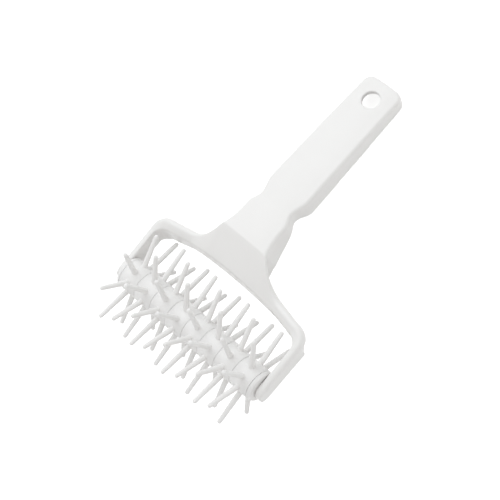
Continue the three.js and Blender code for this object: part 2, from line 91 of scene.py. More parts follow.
CAP_BOSS_RADIUS = 4.5
CAP_BOSS_CHAMFER = 0.15
PLUG_LENGTH = 9
PLUG_TAPER = 0.8
TRUNNION_RADIUS = 3
TRUNNION_CHAMFER = 0.5
SOCKET_DEPTH = 2.4

# Arms and arch
ARM_THICKNESS = 4.25
ARM_RISE = 5.35
ARM_DROP = 7.25
ELBOW_DROP = 8.4
ARM_LENGTH = 24.9
ARM_UNDER_RADIUS = 3.2
ARCH_INNER_RADIUS = 7.8
ARCH_RISE = 5
ARCH_SPREAD = 49
ARCH_OUTER_RADIUS = 10
ARCH_FLANGE_LEAD = 4.8
ARCH_OUTER_FALL = 2.9
ARCH_DROP = 4.8
ARCH_DROP_SPREAD = 28
CORNER_DROP = 9.2
ARCH_FLANGE = 6.1
ARCH_RIDGE = 1.5
ARCH_INNER_CREST = 5.2
CREST_SPREAD = 34
ARCH_DIP = 1
ARCH_POWER = 2.2

# Shoulder
SHOULDER_REACH = 57.5
FOLD_SETBACK = 0.35
FOLD_BOW = 0.2
FOLD_RISE_SHARE = 0.1
FOLD_SOFTNESS = 0.8
FOLD_ROOM_SHARE = 0.9
WEB_TURN = 2.8
WEB_FALL = 0.46
WEB_BLEND = 1.5
FLARE_HALF_WIDTH = 35.8
FLARE_FOOT_LEAD = (0.45, 0.11)  # shares of the flare's span, across and along
FLARE_HEAD_LEAD = (0.25, 0.53)
CREST_SHARE = 1.3
LEAN_REACH_SHARE = 0.5
SKIN_REACH_SHARE = 0.67
WALL_LEAN = 0.15

# Handle
HANDLE_LENGTH = 117.19
HANDLE_HALF_WIDTH = 14.9
HANDLE_TAPER = 1.5
SHOULDER_HALF_WIDTH = 17.3
SHOULDER_BLEND = 14.5
FRONT_HEIGHT = 20.1
TAIL_HEIGHT = 5
TOP_BOW = 1.1
TOP_CROWN = 0.7
RIM_FRONT = 2.2
RIM_RISE = 2.6
RIM_TAIL = -4.2
RIM_RISE_AT = 34
GRIP_DEPTH = 2.7
GRIP_AT = 25.7
GRIP_FRONT_RUN = 7.7
GRIP_TAIL_RUN = 11.6
GRIP_RIM_RISE = 5
GRIP_RIM_AT = 23
GRIP_RIM_FRONT_RUN = 14.5
GRIP_RIM_TAIL_RUN = 11.5
TAIL_CORNER_RADIUS = 5.4
TAIL_EDGE_RADIUS = 1.6
TAIL_LEAN = 0.15
WALL = 2.4
WALL_DRAFT = 0.02
WALL_TUCK = 0.7
RIB_THICKNESS = 1.6
RIB_INSET = 2.5
RIB_PITCH = 27
RIB_COUNT = 3
HANG_HOLE_RADIUS = 5.4
HANG_HOLE_FROM_TAIL = 12.9
HANG_COLLAR_DEPTH = 2.6
HOLE_SIDES = 72
OVERRUN = 1

# Soft edges
TOP_EDGE_RADIUS = 1.8
ARM_EDGE_RADIUS = 2.6
ARM_INNER_EDGE_RADIUS = 0.5
ARCH_EDGE_RADIUS = 2.5
INNER_EDGE_RADIUS = 0.8
LOWER_EDGE_RADIUS = 0.5
FLANGE_EDGE_RADIUS = 1.1
UNDER_EDGE_SHARE = 0.15
LOW_ARC_SHARE = 0.3

# Fineness: the skin's voxels, its calming and the share of faces kept, and steps along each run
SKIN_VOXEL = 0.45
SKIN_SMOOTHING = 4
SMOOTHING_PULL = 0.5
SKIN_KEPT = 0.7
EDGE_STEPS = 5
RUN_STEPS = 5
CREST_STEPS = 3
FOLD_STEPS = 6
HANDLE_STEPS = 70
TAIL_CORNER_STEPS = 18
TAIL_EDGE_STEPS = 10
ELBOW_STEPS = 12
ELBOW_TURN = 1.42
ARM_STEPS = 4
CORNER_STEPS = 20
ARCH_SHARES = (0.75, 0.5, 0.25)
FLARE_STEPS = 28
FLARE_END = 0.97
WEB_STEPS = 20
PIN_FILLET_STEPS = 4
PIN_DOME_STEPS = 6
CAP_EDGE_STEPS = 7

# Finishes, with noise scales per metre: 700 is a grain of about 1.4 mm
PLASTIC_IOR = 1.49
PLASTIC_GLOW = 0.4  # weight of the light that wanders under the surface
PLASTIC_GLOW_DEPTH = 1.6
FLOW_SCALE = 22
PEEL_SCALE = 700
HANDLING_SCALE = 160
WEAR_BREAK_SCALE = 90
HANDLING_SHARE = 0.7
RUB_POLISH = 0.06
PEEL_HEIGHT = 0.02

# Room and camera
TABLE_SIZE = 8
CARD_WHITE = (0.88, 0.88, 0.875, 1)
CARD_ROUGHNESS = 0.9
BACK_LIGHT = (-0.42, 0.42, 0.8)
CAMERA_AZIMUTH, CAMERA_ELEVATION, CAMERA_ROLL = 107.5914, 60.3107, -70.5543
CAMERA_AIM = (-2.16, -16.99, 25.0)
CAMERA_DISTANCE = 903.974
CAMERA_LENS = 115.6576
CAMERA_SENSOR = 36
CAMERA_CLIP = 0.05

# Places that follow from these measures
CAP_INNER_FACE = (RING_COUNT * RING_PITCH + RING_SEAM) / 2
CAP_OUTER_FACE = CAP_INNER_FACE + CAP_THICKNESS
ARM_INNER_FACE = CAP_OUTER_FACE + RUNNING_GAP
ARM_OUTER_FACE = ARM_INNER_FACE + ARM_THICKNESS
ARM_RADIUS = (ARM_RISE + ARM_DROP) / 2
ARM_MIDDLE = (ARM_RISE - ARM_DROP) / 2
ARCH_TOP = ARM_RISE + ARCH_RIDGE
TAIL = SHOULDER_REACH + HANDLE_LENGTH
TAIL_RIM_Y = TAIL - TAIL_LEAN * (TAIL_HEIGHT - RIM_TAIL)
PIN_GAP = 2 * math.pi / PINS_PER_RING
KEY_ANGLE = (PIN_GAP + STAGGER) / 2
AXIS = Vector(frame["joints"][0]["pos_m"])
TIP = -(
    math.asin(SPIKED_RADIUS / math.hypot(TAIL_RIM_Y, RIM_TAIL))
    + math.atan2(RIM_TAIL, TAIL_RIM_Y)
)


def lerp(a, b, share):
    return a + (b - a) * share


def smoothstep(value, low, high):
    share = min(1, max(0, (value - low) / (high - low)))
    return share * share * (3 - 2 * share)


def shares(count, first=0.0, last=1.0):
    return [lerp(first, last, i / count) for i in range(count + 1)]


EDGE_TURNS = [share * QUARTER for share in shares(EDGE_STEPS)[1:-1]]


# Hands: how pieces are picked, cut, joined and laid in place


def alone(piece):
    """Selects one piece and nothing else."""
    bpy.ops.object.select_all(action="DESELECT")
    piece.select_set(True)
    bpy.context.view_layer.objects.active = piece


def started(name):
    """Names the primitive that was just added and settles its place."""
    piece = bpy.context.object
    piece.name = name
    piece.data.name = name
    alone(piece)
    bpy.ops.object.transform_apply(location=True, rotation=True, scale=True)
    return piece


def placed(piece, location=(0, 0, 0), rotation=(0, 0, 0)):
    """Moves a piece into place and settles it there."""
    piece.location = location
    piece.rotation_euler = rotation
    alone(piece)
    bpy.ops.object.transform_apply(location=True, rotation=True, scale=True)
    return piece


def copied(piece, name):
    alone(piece)
    bpy.ops.object.duplicate(linked=False)
    copy = bpy.context.object
    copy.name = name
    copy.data.name = name
    return copy


def joined(pieces):
    alone(pieces[0])
    for piece in pieces:
        piece.select_set(True)
    bpy.ops.object.join()
    return pieces[0]


def combined(piece, tool, operation):
    """Cuts a piece with a tool, or fuses the two, and takes the tool away."""
    alone(piece)
    bpy.ops.object.modifier_add(type="BOOLEAN")
    step = piece.modifiers[-1]
    step.operation = operation
    step.solver = "EXACT"
    step.object = tool
    bpy.ops.object.modifier_apply(modifier=step.name)
    bpy.data.objects.remove(tool)
    return piece


def loft(name, loops):
    """Closed skin through loops of as many points each, from a grid whose rows are laid on them."""
    bpy.ops.object.select_all(action="DESELECT")
    bpy.ops.mesh.primitive_grid_add(
        x_subdivisions=len(loops[0]), y_subdivisions=len(loops) - 1, size=MM
    )
    skin = started(name)
    rows = [point for loop in loops for point in [*loop, loop[0]]]
    skin.data.vertices.foreach_set("co", [axis * MM for point in rows for axis in point])
    bpy.ops.object.mode_set(mode="EDIT")
    bpy.ops.mesh.select_all(action="SELECT")
    bpy.ops.mesh.remove_doubles(threshold=WELD)
    bpy.ops.mesh.fill_holes(sides=0)
    bpy.ops.mesh.select_all(action="SELECT")
    bpy.ops.mesh.normals_make_consistent(inside=False)
    bpy.ops.object.mode_set(mode="OBJECT")
    return skin


def turned(name, profile, sides):
    """Closed round body along X: a disc extruded and resized from one (radius, x) to the next."""
    radius, x = profile[0]
    bpy.ops.object.select_all(action="DESELECT")
    bpy.ops.mesh.primitive_circle_add(
        vertices=sides,
        radius=radius * MM,
        fill_type="NGON",
        location=(x * MM, 0, 0),
        rotation=(0, QUARTER, 0),
    )
    body = started(name)
    bpy.ops.object.mode_set(mode="EDIT")
    bpy.ops.mesh.select_all(action="SELECT")
    for next_radius, next_x in profile[1:]:
        bpy.ops.mesh.extrude_region_move(
            TRANSFORM_OT_translate={"value": ((next_x - x) * MM, 0, 0)}
        )
        factor = next_radius / radius
        bpy.ops.transform.resize(
            value=(1, factor, factor), center_override=(next_x * MM, 0, 0)
        )
        radius, x = next_radius, next_x
    bpy.ops.mesh.select_all(action="SELECT")
    bpy.ops.mesh.normals_make_consistent(inside=False)
    bpy.ops.object.mode_set(mode="OBJECT")
    return body


def block(name, low, high):
    """Box between two corners, from a cube that is resized and moved."""
    bpy.ops.object.select_all(action="DESELECT")
    bpy.ops.mesh.primitive_cube_add(
        size=1,
        location=[lerp(a, b, 0.5) * MM for a, b in zip(low, high)],
        scale=[(b - a) * MM for a, b in zip(low, high)],
    )
    return started(name)


# The handle's outline, from the fold of the shoulder to the tail


def handle_top(y):
    share = (y - SHOULDER_REACH) / HANDLE_LENGTH
    return lerp(FRONT_HEIGHT, TAIL_HEIGHT, share) + TOP_BOW * 4 * share * (1 - share)


def scoop_shape(offset, front_run, tail_run):
    share = min(1, abs(offset) / (front_run if offset < 0 else tail_run))
    return (1 + math.cos(math.pi * share)) / 2


def handle_rim(y):
    run = y - SHOULDER_REACH
    scoop = GRIP_RIM_RISE * scoop_shape(
        run - GRIP_RIM_AT, GRIP_RIM_FRONT_RUN, GRIP_RIM_TAIL_RUN
    )
    if run < RIM_RISE_AT:
        return scoop + lerp(RIM_FRONT, RIM_RISE, smoothstep(run, 0, RIM_RISE_AT))
    share = (run - RIM_RISE_AT) / (HANDLE_LENGTH - RIM_RISE_AT)
    return scoop + lerp(RIM_RISE, RIM_TAIL, share)


def handle_side(y):
    run = y - SHOULDER_REACH
    blend = max(0, 1 - run / SHOULDER_BLEND)
    flare = (SHOULDER_HALF_WIDTH - HANDLE_HALF_WIDTH) * blend * blend
    scoop = GRIP_DEPTH * scoop_shape(run - GRIP_AT, GRIP_FRONT_RUN, GRIP_TAIL_RUN)
    taper = HANDLE_TAPER * max(0, run - GRIP_AT) / (HANDLE_LENGTH - GRIP_AT)
    into = min(TAIL_CORNER_RADIUS, max(0, y - (TAIL - TAIL_CORNER_RADIUS)))
    corner = TAIL_CORNER_RADIUS - math.sqrt(TAIL_CORNER_RADIUS**2 - into**2)
    return HANDLE_HALF_WIDTH + flare - scoop - taper - corner


def handle_half_section(y, inset, rim_drop):
    """Half of the section from the lower rim to the middle of the top, as (x, z) points."""
    side = handle_side(y) - inset
    into = min(TAIL_EDGE_RADIUS, max(0, y - (TAIL - TAIL_EDGE_RADIUS)))
    tail_drop = TAIL_EDGE_RADIUS - math.sqrt(TAIL_EDGE_RADIUS**2 - into**2)
    top = handle_top(y) - inset - tail_drop
    rim = handle_rim(y) - rim_drop
    radius = TOP_EDGE_RADIUS
    low_x = side - WALL_TUCK + WALL_DRAFT * (top - rim)
    points = [
        (lerp(low_x, side, share), lerp(rim, top - radius, share))
        for share in shares(RUN_STEPS)
    ]
    for turn in EDGE_TURNS:
        points.append(
            (side - radius * (1 - math.cos(turn)), top - radius * (1 - math.sin(turn)))
        )
    for share in shares(RUN_STEPS):
        x = (side - radius) * (1 - share)
        points.append((x, top + TOP_CROWN * (1 - (1 - share) ** 2)))
    return points


def handle_loop(y, inset, rim_drop):
    lean = TAIL_LEAN * max(0, y - SHOULDER_REACH) / HANDLE_LENGTH
    half = [
        (x, y - lean * (handle_top(y) - z), z)
        for x, z in handle_half_section(y, inset, rim_drop)
    ]
    return half + [(-x, at_y, z) for x, at_y, z in reversed(half[:-1])]


def handle_stations(end):
    """Stations from the fold to the end, closer together round the tail's corners and edge."""
    corner = TAIL - TAIL_CORNER_RADIUS
    stations = [lerp(SHOULDER_REACH, corner, share) for share in shares(HANDLE_STEPS)]
    for share in shares(TAIL_CORNER_STEPS)[1:]:
        stations.append(corner + TAIL_CORNER_RADIUS * math.sin(share * QUARTER))
    for share in shares(TAIL_EDGE_STEPS)[1:-1]:
        stations.append(TAIL - TAIL_EDGE_RADIUS * (1 - math.sin(share * QUARTER)))
    return [y for y in sorted(stations) if y < end - HAIR] + [end]


# The yoke's outline, seen from above, and its sections


def arch_inner_y(x):
    share = min(1, x / ARCH_SPREAD)
    return ARM_LENGTH + ARCH_INNER_RADIUS + ARCH_RISE * (1 - share**ARCH_POWER)


def arch_inner_top(x):
    share = min(1, x / CREST_SPREAD)
    return ARM_RISE - ARCH_DIP + ARCH_INNER_CREST * (1 - share * share)


def arch_bottom(x):
    return -lerp(ARCH_DROP, CORNER_DROP, smoothstep(x, ARCH_DROP_SPREAD, ARCH_SPREAD))


INNER_CORNER_X = ARM_INNER_FACE - ARCH_INNER_RADIUS
OUTER_CORNER_X = ARM_OUTER_FACE - ARCH_OUTER_RADIUS
OUTER_CORNER_Y = ARM_LENGTH + ARCH_FLANGE_LEAD
SLOPE_RUN = SHOULDER_REACH - FOLD_SETBACK - arch_inner_y(SHOULDER_HALF_WIDTH)
SLOPE = (FRONT_HEIGHT - arch_inner_top(SHOULDER_HALF_WIDTH)) / SLOPE_RUN
FLARE_FOOT = Vector(
    (FLARE_HALF_WIDTH, OUTER_CORNER_Y + ARCH_OUTER_RADIUS + ARCH_OUTER_FALL, ARCH_TOP)
)
FLARE_HEAD = Vector((SHOULDER_HALF_WIDTH, SHOULDER_REACH, FRONT_HEIGHT))
FLARE_SPAN = Vector((FLARE_FOOT.x - FLARE_HEAD.x, FLARE_HEAD.y - FLARE_FOOT.y))
FLARE_DROP = FLARE_HEAD_LEAD[1] * FLARE_SPAN.y
FLARE_LEADS = [
    FLARE_FOOT,
    FLARE_FOOT
    + Vector((-FLARE_FOOT_LEAD[0] * FLARE_SPAN.x, FLARE_FOOT_LEAD[1] * FLARE_SPAN.y, 0)),
    FLARE_HEAD + Vector((FLARE_HEAD_LEAD[0] * FLARE_SPAN.x, -FLARE_DROP, -FLARE_DROP * SLOPE)),
    FLARE_HEAD,
]


def flare_point(share):
    """Point of the flare's top edge, which runs from the arch's outer edge to the handle's side."""
    foot, first, second, head = FLARE_LEADS
    rest = 1 - share
    return (
        foot * rest**3
        + first * (3 * rest * rest * share)
        + second * (3 * rest * share * share)
        + head * share**3
    )


def flange_under(bottom, thickness):
    """Underside of a flange or skin of the given thickness, carried by the strap at its inside."""
    return {
        "bottom": bottom,
        "strap": ARM_THICKNESS,
        "rim_edge": FLANGE_EDGE_RADIUS if thickness > WALL else LOWER_EDGE_RADIUS,
        "under": lambda a, top: top - thickness,
    }


def rounded_under(bottom, width, radius):
    """Lower outer edge of a strap as one round sweep from its bottom up to its outer face."""
    strap = width - radius
    rim_edge = radius * UNDER_EDGE_SHARE

    def under(a, top):
        if a >= width:
            return bottom + radius - rim_edge
        reach = min(radius, max(0, a - strap))
        return bottom + radius - math.sqrt(radius**2 - reach**2)

    return {
        "bottom": bottom,
        "strap": strap,
        "strap_edge": 0,
        "rim_edge": rim_edge,
        "under": under,
    }


def yoke_loop(
    inner,
    outer,
    inner_top,
    outer_top,
    bottom,
    strap,
    under,
    lean,
    rim_edge,
    edge,
    in_edge=INNER_EDGE_RADIUS,
    soft=1.0,
    strap_edge=None,
    fold_at=None,
    fold_top=None,
):
    """One section of the yoke, from its lower inner edge round the outside to its upper one.

    Distances run from the inner edge outwards. The top is straight up to its fold or crest at
    fold_at, fold_top high, and straight again to the outer edge, and the inner wall leans.
    """
    across = outer - inner
    width = across.length
    across = across / width
    low = LOWER_EDGE_RADIUS * soft
    strap_edge = low if strap_edge is None else strap_edge
    if fold_at is None:
        fold_at = width - CREST_SHARE * edge
    if fold_top is None:
        fold_top = outer_top
    room = min((width - edge - fold_at) * FOLD_ROOM_SHARE, fold_at - in_edge)
    fold_soft = max(0, min(FOLD_SOFTNESS, room))

    def straight_top(a):
        if a < fold_at:
            return lerp(inner_top, fold_top, a / fold_at)
        return lerp(fold_top, outer_top, (a - fold_at) / (width - fold_at))

    def top_at(a):
        if abs(a - fold_at) >= fold_soft:
            return straight_top(a)
        share = (a - fold_at + fold_soft) / (2 * fold_soft)
        start, end = straight_top(fold_at - fold_soft), straight_top(fold_at + fold_soft)
        rest = 1 - share
        return start * rest * rest + 2 * fold_top * rest * share + end * share * share

    def place(a, z, leaning):
        out = a - lean * (inner_top - z) if leaning else a
        return (inner.x + across.x * out, inner.y + across.y * out, z)

    def under_at(a):
        return under(a, top_at(a))

    points = [
        place(0, bottom + low, True),
        place(low * LOW_ARC_SHARE, bottom + low * LOW_ARC_SHARE, True),
        place(low, bottom, True),
        place(strap - strap_edge, bottom, True),
        place(strap, bottom + strap_edge, True),
        place(strap, under_at(strap), True),
    ]
    for share in shares(2 * RUN_STEPS)[1:-1]:
        a = lerp(strap, width - rim_edge, share)
        points.append(place(a, under_at(a), False))
    points.append(place(width - rim_edge, under_at(width - rim_edge), False))
    points.append(place(width, under_at(width) + rim_edge, False))
    points.append(place(width, outer_top - edge, False))
    for turn in EDGE_TURNS:
        a = width - edge * (1 - math.cos(turn))
        points.append(place(a, top_at(a) - edge * (1 - math.sin(turn)), False))
    crest_end = max(width - edge, fold_at)
    fold_start, fold_end = fold_at + fold_soft, fold_at - fold_soft
    crest = [lerp(crest_end, fold_start, share) for share in shares(CREST_STEPS)]
    fold = [lerp(fold_start, fold_end, share) for share in shares(FOLD_STEPS)[1:]]
    slope = [lerp(fold_end, in_edge, share) for share in shares(2 * RUN_STEPS)[1:]]
    points += [place(a, top_at(a), False) for a in crest + fold + slope]
    for turn in reversed(EDGE_TURNS):
        a = in_edge * (1 - math.cos(turn))
        points.append(place(a, top_at(a) - in_edge * (1 - math.sin(turn)), False))
    points.append(place(0, inner_top - in_edge, True))
    return points


def arm_loop(y):
    """Section of an arm at a distance from the roller's axis, negative past the axis."""
    half_depth = math.sqrt(ARM_RADIUS**2 - y**2) if y < 0 else ARM_RADIUS
    soft = half_depth / ARM_RADIUS
    bottom = ARM_MIDDLE - half_depth - (ELBOW_DROP - ARM_DROP) * max(0, y / ARM_LENGTH)
    return yoke_loop(
        inner=Vector((ARM_INNER_FACE, y)),
        outer=Vector((ARM_OUTER_FACE, y)),
        inner_top=ARM_MIDDLE + half_depth,
        outer_top=ARM_MIDDLE + half_depth,
        lean=0,
        in_edge=ARM_INNER_EDGE_RADIUS * soft,
        edge=ARM_EDGE_RADIUS * soft,
        soft=soft,
        **rounded_under(bottom, ARM_THICKNESS, ARM_UNDER_RADIUS * soft),
    )


def corner_loop(share):
    """Section across the bend between arm and arch."""
    turn = share * QUARTER
    arc = Vector((math.cos(turn), math.sin(turn)))
    if share == 0:
        width = math.hypot(ARM_THICKNESS, ARCH_FLANGE_LEAD)
        underside = rounded_under(-ELBOW_DROP, width, ARM_UNDER_RADIUS)
    else:
        underside = flange_under(-lerp(ELBOW_DROP, CORNER_DROP, share), ARCH_FLANGE)
    return yoke_loop(
        inner=Vector((INNER_CORNER_X, ARM_LENGTH)) + arc * ARCH_INNER_RADIUS,
        outer=Vector((OUTER_CORNER_X, OUTER_CORNER_Y)) + arc * ARCH_OUTER_RADIUS,
        inner_top=lerp(ARM_RISE, arch_inner_top(INNER_CORNER_X), share),
        outer_top=lerp(ARM_RISE, ARCH_TOP, share),
        lean=WALL_LEAN * min(1, share / LEAN_REACH_SHARE),
        in_edge=lerp(ARM_INNER_EDGE_RADIUS, INNER_EDGE_RADIUS, share),
        edge=lerp(ARM_EDGE_RADIUS, ARCH_EDGE_RADIUS, share),
        **underside,
    )


def arch_loop(share):
    """Section of the arch between its corner and the foot of the flare."""
    inner_x = lerp(FLARE_FOOT.x, INNER_CORNER_X, share)
    outer_y = lerp(FLARE_FOOT.y, OUTER_CORNER_Y + ARCH_OUTER_RADIUS, share)
    return yoke_loop(
        inner=Vector((inner_x, arch_inner_y(inner_x))),
        outer=Vector((lerp(FLARE_FOOT.x, OUTER_CORNER_X, share), outer_y)),
        inner_top=arch_inner_top(inner_x),
        outer_top=ARCH_TOP,
        lean=WALL_LEAN,
        edge=ARCH_EDGE_RADIUS,
        **flange_under(arch_bottom(inner_x), ARCH_FLANGE),
    )


def flare_loop(share):
    """Section through the flare, from its foot to the handle's side."""
    edge = flare_point(share)
    skin = lerp(ARCH_FLANGE, WALL, min(1, share / SKIN_REACH_SHARE))
    inner = Vector((edge.x, arch_inner_y(edge.x)))
    inner_top = arch_inner_top(edge.x)
    rounding = lerp(ARCH_EDGE_RADIUS, TOP_EDGE_RADIUS, share)
    return yoke_loop(
        inner=inner,
        outer=Vector((edge.x, edge.y)),
        inner_top=inner_top,
        outer_top=edge.z,
        lean=WALL_LEAN,
        edge=rounding,
        fold_at=edge.y - inner.y - lerp(CREST_SHARE * rounding, FOLD_SETBACK, share),
        **flange_under(arch_bottom(edge.x), skin),
    )


def shoulder_loop(x, top):
    """Section at a distance from the middle plane, where the slope folds into the handle's top."""
    bow = FOLD_BOW * (1 - (x / SHOULDER_HALF_WIDTH) ** 2)
    edge = max(0, FRONT_HEIGHT - top)
    inner_y = arch_inner_y(x)
    return yoke_loop(
        inner=Vector((x, inner_y)),
        outer=Vector((x, SHOULDER_REACH)),
        inner_top=arch_inner_top(x),
        outer_top=top + edge,
        lean=WALL_LEAN,
        edge=edge,
        fold_at=SHOULDER_REACH - FOLD_SETBACK + bow - inner_y,
        fold_top=top + edge + (FOLD_SETBACK - bow) * FOLD_RISE_SHARE,
        **flange_under(arch_bottom(x), WALL),
    )


def yoke_skin():
    """Both arms, the arch and the shoulder as one skin, with blind sockets for the trunnions."""
    shoulder = [
        point
        for point in handle_half_section(SHOULDER_REACH, 0, 0)
        if point[1] >= FRONT_HEIGHT - TOP_EDGE_RADIUS - HAIR
    ]
    elbow = reversed(shares(ELBOW_STEPS, 0, ELBOW_TURN))
    right = [arm_loop(-ARM_RADIUS * math.sin(turn)) for turn in elbow]
    right += [arm_loop(ARM_LENGTH * share) for share in shares(ARM_STEPS)[1:-1]]
    right += [corner_loop(share) for share in shares(CORNER_STEPS)]
    right += [arch_loop(share) for share in ARCH_SHARES]
    right += [flare_loop(share) for share in shares(FLARE_STEPS, 0, FLARE_END)]
    right += [shoulder_loop(x, top) for x, top in shoulder]
    left = [[(-x, y, z) for x, y, z in loop] for loop in reversed(right[:-1])]
    skin = loft("yoke_skin", right + left)
    for side in (-1, 1):
        radius = TRUNNION_RADIUS + FIT_GAP
        reach = [ARM_INNER_FACE - OVERRUN, ARM_INNER_FACE + SOCKET_DEPTH]
        socket = turned("socket", [(radius, side * x) for x in reach], HOLE_SIDES)
        combined(skin, socket, "DIFFERENCE")
    return skin


def hang_hole_tool(radius, depth):
    """Round tool square to the handle's top at the hanging hole."""
    y = TAIL - HANG_HOLE_FROM_TAIL
    climb = handle_top(y + OVERRUN) - handle_top(y - OVERRUN)
    tool = turned("hole_tool", [(radius, -depth), (radius, depth)], HOLE_SIDES)
    placed(tool, rotation=(0, QUARTER, 0))
    return placed(
        tool,
        location=(0, y * MM, handle_top(y) * MM),
        rotation=(math.atan2(climb, 2 * OVERRUN), 0, 0),
    )


def handle_shell():
    """Hollow handle with its cross ribs, the collar under the hanging hole and the hole itself."""
    shell = loft("handle_shell", [handle_loop(y, 0, 0) for y in handle_stations(TAIL)])
    stations = [SHOULDER_REACH - OVERRUN, *handle_stations(TAIL - WALL)]
    hollow = loft("handle_hollow", [handle_loop(y, WALL, OVERRUN) for y in stations])
    for i in range(1, RIB_COUNT + 1):
        y = SHOULDER_REACH + GRIP_AT + i * RIB_PITCH - RIB_PITCH / 2
        low = (-SHOULDER_HALF_WIDTH, y, handle_rim(y) + RIB_INSET)
        high = (SHOULDER_HALF_WIDTH, y + RIB_THICKNESS, handle_top(y) + OVERRUN)
        combined(hollow, block("rib", low, high), "DIFFERENCE")
    collar = hang_hole_tool(HANG_HOLE_RADIUS + WALL, HANG_COLLAR_DEPTH)
    combined(hollow, collar, "DIFFERENCE")
    combined(shell, hollow, "DIFFERENCE")
    return combined(shell, hang_hole_tool(HANG_HOLE_RADIUS, FRONT_HEIGHT), "DIFFERENCE")


def side_web(side):
    """Side wall of the handle carried on under the shoulder to the arch's strap, without a kink."""
    inner_y = arch_inner_y(SHOULDER_HALF_WIDTH)
    inner_top = arch_inner_top(SHOULDER_HALF_WIDTH)
    fold_y = SHOULDER_REACH - FOLD_SETBACK
    strap_y = inner_y + ARM_THICKNESS / 2
    strap_top = inner_top + SLOPE * (strap_y - inner_y) - WALL / 2
    strap_bottom = LOWER_EDGE_RADIUS - ARCH_DROP
    behind = SHOULDER_REACH + OVERRUN
    turn_y = SHOULDER_REACH - WEB_TURN
    spread = (SHOULDER_HALF_WIDTH - HANDLE_HALF_WIDTH) / SHOULDER_BLEND * WEB_BLEND

    def web_loop(y):
        low = max(strap_bottom, handle_rim(behind) - WEB_FALL * max(0, turn_y - y))
        climbed = min(1, (y - strap_y) / (fold_y - strap_y))
        high = lerp(strap_top, FRONT_HEIGHT - WALL / 2, climbed)
        if y > fold_y:
            high -= (TOP_EDGE_RADIUS - WALL / 2) * (y - fold_y) / (behind - fold_y)
        calm = max(0, 1 - max(0, SHOULDER_REACH - y) / WEB_BLEND)
        outer = handle_side(max(y, SHOULDER_REACH)) + spread * (1 - calm * calm)
        lower = outer - WALL_TUCK + WALL_DRAFT * (high - low)
        corners = ((lower - WALL, low), (lower, low), (outer, high), (outer - WALL, high))
        return [(side * x, y, z) for x, z in corners]

    stations = [lerp(strap_y, fold_y, share) for share in shares(WEB_STEPS)]
    stations += [lerp(fold_y, behind, share) for share in shares(FOLD_STEPS)[1:]]
    return loft("side_web", [web_loop(y) for y in stations])


def moulded_handle():
    """The whole handle moulding, fused, smoothed and thinned as one skin, and tipped."""
    handle = joined([yoke_skin(), handle_shell(), side_web(-1), side_web(1)])
    handle.name = handle.data.name = "moulded_handle"
    bpy.ops.object.modifier_add(type="REMESH")
    fuse = handle.modifiers[-1]
    fuse.mode = "VOXEL"
    fuse.voxel_size = SKIN_VOXEL * MM
    bpy.ops.object.modifier_apply(modifier=fuse.name)
    bpy.ops.object.modifier_add(type="SMOOTH")
    soften = handle.modifiers[-1]
    soften.factor = SMOOTHING_PULL
    soften.iterations = SKIN_SMOOTHING
    bpy.ops.object.modifier_apply(modifier=soften.name)
    bpy.ops.object.modifier_add(type="DECIMATE")
    thin = handle.modifiers[-1]
    thin.ratio = SKIN_KEPT
    bpy.ops.object.modifier_apply(modifier=thin.name)
    bpy.ops.object.shade_smooth()
    return placed(handle, location=AXIS, rotation=(TIP, 0, 0))


# Roller


def ring_pin():
    """Tapered pin with a soft root and a domed tip, standing along +Y from inside the barrel."""
    dome_at = SPIKED_RADIUS - PIN_TIP_RADIUS
    root = BARREL_RADIUS - PIN_ROOT
    profile = [(PIN_BASE_RADIUS + PIN_FILLET, root)]
    for turn in shares(PIN_FILLET_STEPS, 0, QUARTER):
        radius = PIN_BASE_RADIUS + PIN_FILLET * (1 - math.sin(turn))
        profile.append((radius, BARREL_RADIUS + PIN_FILLET * (1 - math.cos(turn)) - PIN_SINK))
    for turn in shares(PIN_DOME_STEPS, 0, PIN_DOME_END * QUARTER):
        radius = PIN_TIP_RADIUS * math.cos(turn)
        profile.append((radius, dome_at + PIN_TIP_RADIUS * math.sin(turn)))
    pin = turned("ring_pin", profile, PIN_SIDES)
    return placed(pin, rotation=(0, 0, QUARTER))


def spiked_ring(turn):
    """Barrel with soft rims, a lip into the seam on its left, a keyed bore and a row of pins."""
    half = (RING_PITCH - RING_SEAM) / 2
    lip_radius = BARREL_RADIUS - SEAM_DEPTH
    bevel = BARREL_BEVEL
    ring = turned(
        "spiked_ring",
        [
            (lip_radius, -half - SEAM_LIP),
            (lip_radius, -half),
            (BARREL_RADIUS - bevel, -half),
            (BARREL_RADIUS - bevel / 3, -half + bevel / 3),
            (BARREL_RADIUS, -half + bevel),
            (BARREL_RADIUS, half - bevel),
            (BARREL_RADIUS - bevel / 3, half - bevel / 3),
            (BARREL_RADIUS - bevel, half),
        ],
        BARREL_SIDES,
    )
    pin = ring_pin()
    pins = [copied(pin, "ring_pin_copy") for _ in range(PINS_PER_RING)]
    bpy.data.objects.remove(pin)
    for i, copy in enumerate(pins):
        placed(copy, rotation=(turn + i * PIN_GAP, 0, 0))
    combined(ring, joined(pins), "UNION")
    reach = half + OVERRUN
    bore = turned("bore", [(CORE_RADIUS + FIT_GAP, x) for x in (-reach, reach)], HOLE_SIDES)
    combined(ring, bore, "DIFFERENCE")
    key = KEY_WIDTH / 2 + FIT_GAP
    key_top = CORE_RADIUS + KEY_HEIGHT + FIT_GAP
    keyway = block("keyway", (-reach, 0, -key), (reach, key_top, key))
    placed(keyway, rotation=(KEY_ANGLE, 0, 0))
    combined(ring, keyway, "DIFFERENCE")
    alone(ring)
    bpy.ops.object.shade_smooth_by_angle(angle=SMOOTH_ANGLE)
    return ring


def rolled_ring(model, number):
    """Ring of the given number, copied from its model and threaded on the core."""
    x = (number - 1 - (RING_COUNT - 1) / 2) * RING_PITCH
    ring = copied(model, f"spiked_ring_{number}")
    return placed(ring, location=AXIS + Vector((x * MM, 0, 0)))


